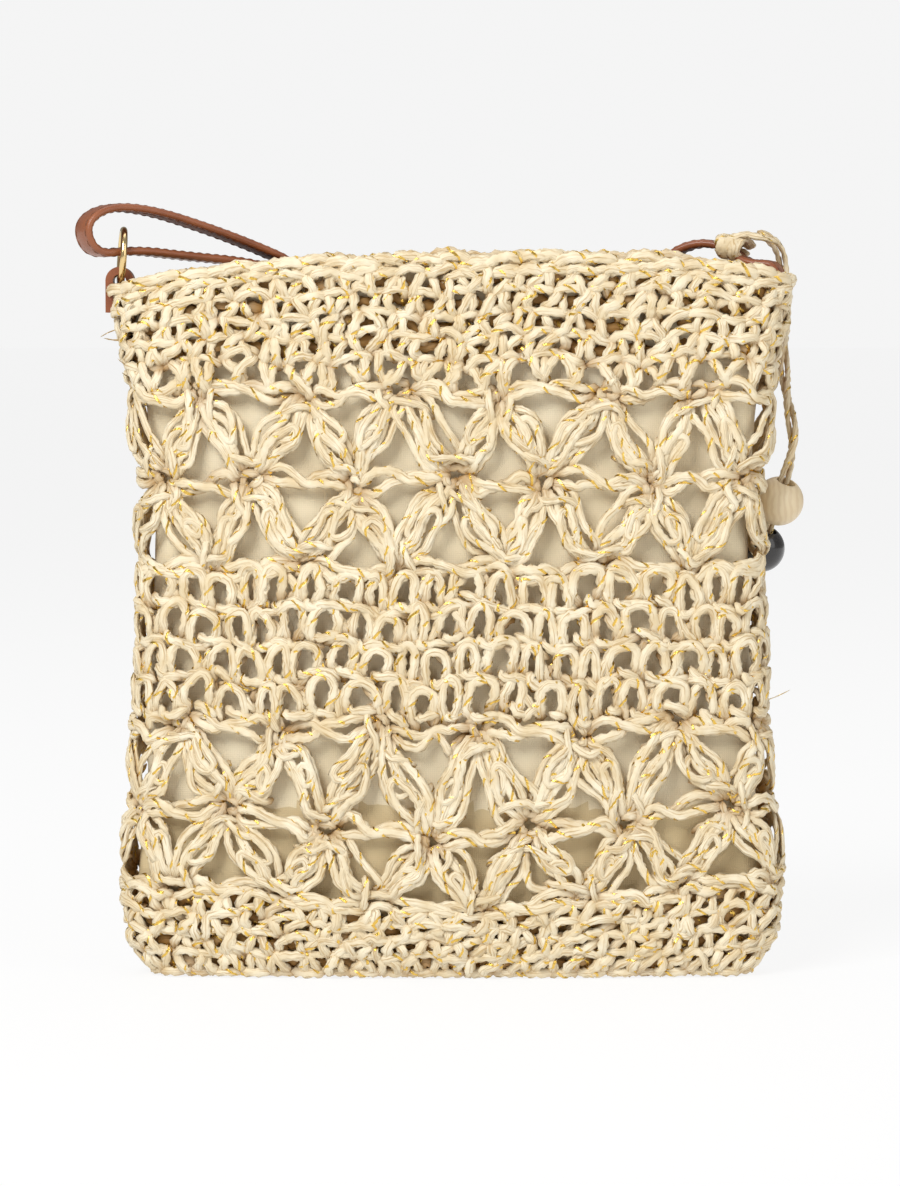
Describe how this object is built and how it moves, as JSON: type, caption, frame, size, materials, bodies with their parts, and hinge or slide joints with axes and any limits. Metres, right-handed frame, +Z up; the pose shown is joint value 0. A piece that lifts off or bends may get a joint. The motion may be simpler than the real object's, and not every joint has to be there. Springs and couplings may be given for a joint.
{
  "type": "crossbody purse",
  "caption": "Crocheted straw crossbody purse with zip mouth, cloth lining, adjustable strap on gold rings and a beaded straw tassel",
  "frame": {"origin": "middle of the base, on the surface that the purse stands on", "axes": "+X to the wearer-facing right as the front is seen, -Y out of the front face, +Z up"},
  "size_m": [0.235, 0.1715, 0.2471],
  "materials": {
    "straw_crochet": "matt paper straw with gold thread",
    "lining_cloth": "plain cotton",
    "zip_tape": "woven tape",
    "zip_metal": "satin nickel",
    "gold_metal": "polished gold plate",
    "brown_leather": "smooth semi-gloss, stitched edges",
    "straw_cord": "twisted paper straw",
    "pale_wood": "waxed",
    "black_lacquer": "gloss lacquer"
  },
  "bodies": {
    "bag": {"crochet_base": "straw_crochet", "crochet_bottom_band": "straw_crochet", "crochet_lower_star_band": "straw_crochet", "crochet_middle_band": "straw_crochet", "crochet_upper_star_band": "straw_crochet", "crochet_top_band": "straw_crochet", "crochet_rim_chain": "straw_crochet", "lining_front": "lining_cloth", "lining_back": "lining_cloth", "lining_base": "lining_cloth", "zip_facing_front": "zip_tape", "zip_facing_back": "zip_tape", "zip_start_piece": "zip_tape", "zip_end_piece": "zip_tape", "left_tab": "brown_leather", "right_tab": "brown_leather"},
    "zip_front_half": {"zip_front_tape": "zip_tape", "zip_front_teeth": "zip_metal"},
    "zip_back_half": {"zip_back_tape": "zip_tape", "zip_back_teeth": "zip_metal"},
    "zip_slider": {"zip_slider": "zip_metal", "zip_pull_pin": "zip_metal"},
    "zip_pull": {"zip_pull": "zip_metal"},
    "left_ring": {"left_ring": "gold_metal"},
    "right_ring": {"right_ring": "gold_metal"},
    "strap": {"strap_left_loop": "brown_leather", "slide_buckle": "gold_metal", "strap_right_end": "brown_leather", "strap_left_fall": "brown_leather", "strap_coil": "brown_leather", "strap_right_fall": "brown_leather", "tassel_hitch": "straw_cord"},
    "tassel": {"tassel_cord": "straw_cord", "tassel_knot": "straw_cord"},
    "natural_bead": {"natural_bead": "pale_wood"},
    "black_bead": {"black_bead": "black_lacquer"}
  },
  "joints": [
    {"name": "zip_front_open", "type": "hinge", "parent": "bag", "child": "zip_front_half", "pos_m": [0, -0.0079, 0.222], "axis": [1, 0, 0], "range_deg": [0, 40]},
    {"name": "zip_back_open", "type": "hinge", "parent": "bag", "child": "zip_back_half", "pos_m": [0, 0.0079, 0.222], "axis": [-1, 0, 0], "range_deg": [0, 40]},
    {"name": "zip_slide", "type": "slide", "parent": "bag", "child": "zip_slider", "axis": [-1, 0, 0], "range_m": [0, 0.133]},
    {"name": "zip_pull_flip", "type": "hinge", "parent": "zip_slider", "child": "zip_pull", "pos_m": [0.066, 0, 0.2258], "axis": [0, -1, 0], "range_deg": [0, 150]},
    {"name": "left_ring_turn", "type": "hinge", "parent": "bag", "child": "left_ring", "pos_m": [-0.1055, 0, 0.231], "axis": [0.9893, 0.1297, -0.0672], "continuous": true},
    {"name": "right_ring_turn", "type": "hinge", "parent": "bag", "child": "right_ring", "pos_m": [0.1005, 0.027, 0.217], "axis": [0.9893, 0.1297, -0.0672], "continuous": true},
    {"name": "strap_swing", "type": "hinge", "parent": "bag", "child": "strap", "pos_m": [-0.1055, 0, 0.231], "axis": [0.9893, 0.1297, -0.0672], "range_deg": [0, 30]},
    {"name": "tassel_swing", "type": "hinge", "parent": "strap", "child": "tassel", "pos_m": [0.1035, 0.032, 0.2365], "axis": [1, 0, 0], "range_deg": [0, 80]},
    {"name": "natural_bead_turn", "type": "hinge", "parent": "tassel", "child": "natural_bead", "pos_m": [0.1065, 0.016, 0.152], "axis": [-0.3007, 0.3405, -0.8909], "continuous": true},
    {"name": "black_bead_turn", "type": "hinge", "parent": "tassel", "child": "black_bead", "pos_m": [0.1012, 0.022, 0.1363], "axis": [-0.3007, 0.3405, -0.8909], "continuous": true}
  ]
}
